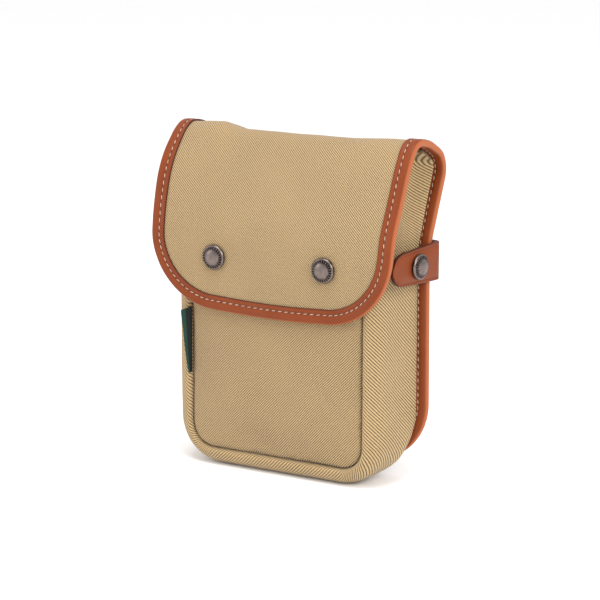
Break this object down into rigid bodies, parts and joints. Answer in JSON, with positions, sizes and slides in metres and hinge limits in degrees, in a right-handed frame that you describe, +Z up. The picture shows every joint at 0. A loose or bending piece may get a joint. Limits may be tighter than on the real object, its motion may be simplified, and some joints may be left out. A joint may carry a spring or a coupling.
{
  "type": "binocular harness pack",
  "caption": "Small upright canvas pouch with a long front flap bound in leather, closed by domed snaps, with leather side straps.",
  "frame": {"origin": "on the ground under the middle of the pouch's outer box", "axes": "+Z up, -Y towards the front flap, +X to the wearer's left (the viewer's right from the front)"},
  "size_m": [0.1732, 0.0682, 0.203],
  "materials": {
    "canvas": "khaki twill canvas, fine diagonal ribs",
    "leather": "tan leather, satin, dark painted edges",
    "cap_metal": "antique gunmetal, worn bright on the dome",
    "snap_metal": "plain nickel",
    "lining_cloth": "smooth lining cloth and tape",
    "foam": "closed-cell foam",
    "label_tape": "forest green woven tape",
    "thread": "waxed cream thread"
  },
  "bodies": {
    "pouch": {"back_panel": "canvas", "gusset": "canvas", "front_panel": "canvas", "back_binding": "leather", "lining": "lining_cloth", "mouth_tape": "lining_cloth", "front_foam": "foam", "back_foam": "foam", "base_foam": "foam", "front_stud_left": "snap_metal", "front_stud_right": "snap_metal", "front_post_left": "snap_metal", "front_post_right": "snap_metal", "side_stud_left": "snap_metal", "side_stud_right": "snap_metal", "side_post_left": "snap_metal", "side_post_right": "snap_metal", "stud_patch_left": "leather", "stud_patch_right": "leather", "strap_anchor_left": "leather", "strap_anchor_right": "leather", "belt_loop": "leather", "belt_loop_rivets": "snap_metal", "label_tab": "label_tape"},
    "flap_top": {"flap_top_panel": "canvas", "flap_top_binding_left": "leather", "flap_top_binding_right": "leather"},
    "flap_front": {"flap_front_panel": "canvas", "flap_front_binding": "leather", "flap_facing": "lining_cloth", "flap_snap_cap_left": "cap_metal", "flap_snap_cap_right": "cap_metal", "flap_snap_socket_left": "snap_metal", "flap_snap_socket_right": "snap_metal"},
    "strap_left": {"strap_tab_left": "leather", "strap_snap_cap_left": "cap_metal", "strap_snap_socket_left": "snap_metal"},
    "strap_right": {"strap_tab_right": "leather", "strap_snap_cap_right": "cap_metal", "strap_snap_socket_right": "snap_metal"}
  },
  "joints": [
    {"name": "flap_open", "type": "hinge", "parent": "pouch", "child": "flap_top", "pos_m": [0, 0.02606, 0.19496], "axis": [-1, 0, 0], "range_deg": [0, 150]},
    {"name": "flap_drop", "type": "hinge", "parent": "flap_top", "child": "flap_front", "pos_m": [0, -0.01578, 0.18098], "axis": [-1, 0, 0], "range_deg": [0, 120]},
    {"name": "strap_left_swing", "type": "hinge", "parent": "pouch", "child": "strap_left", "pos_m": [-0.08454, 0.01034, 0.1315], "axis": [0, 0, -1], "range_deg": [0, 120]},
    {"name": "strap_right_swing", "type": "hinge", "parent": "pouch", "child": "strap_right", "pos_m": [0.08454, 0.01034, 0.1315], "axis": [0, 0, 1], "range_deg": [0, 120]}
  ]
}
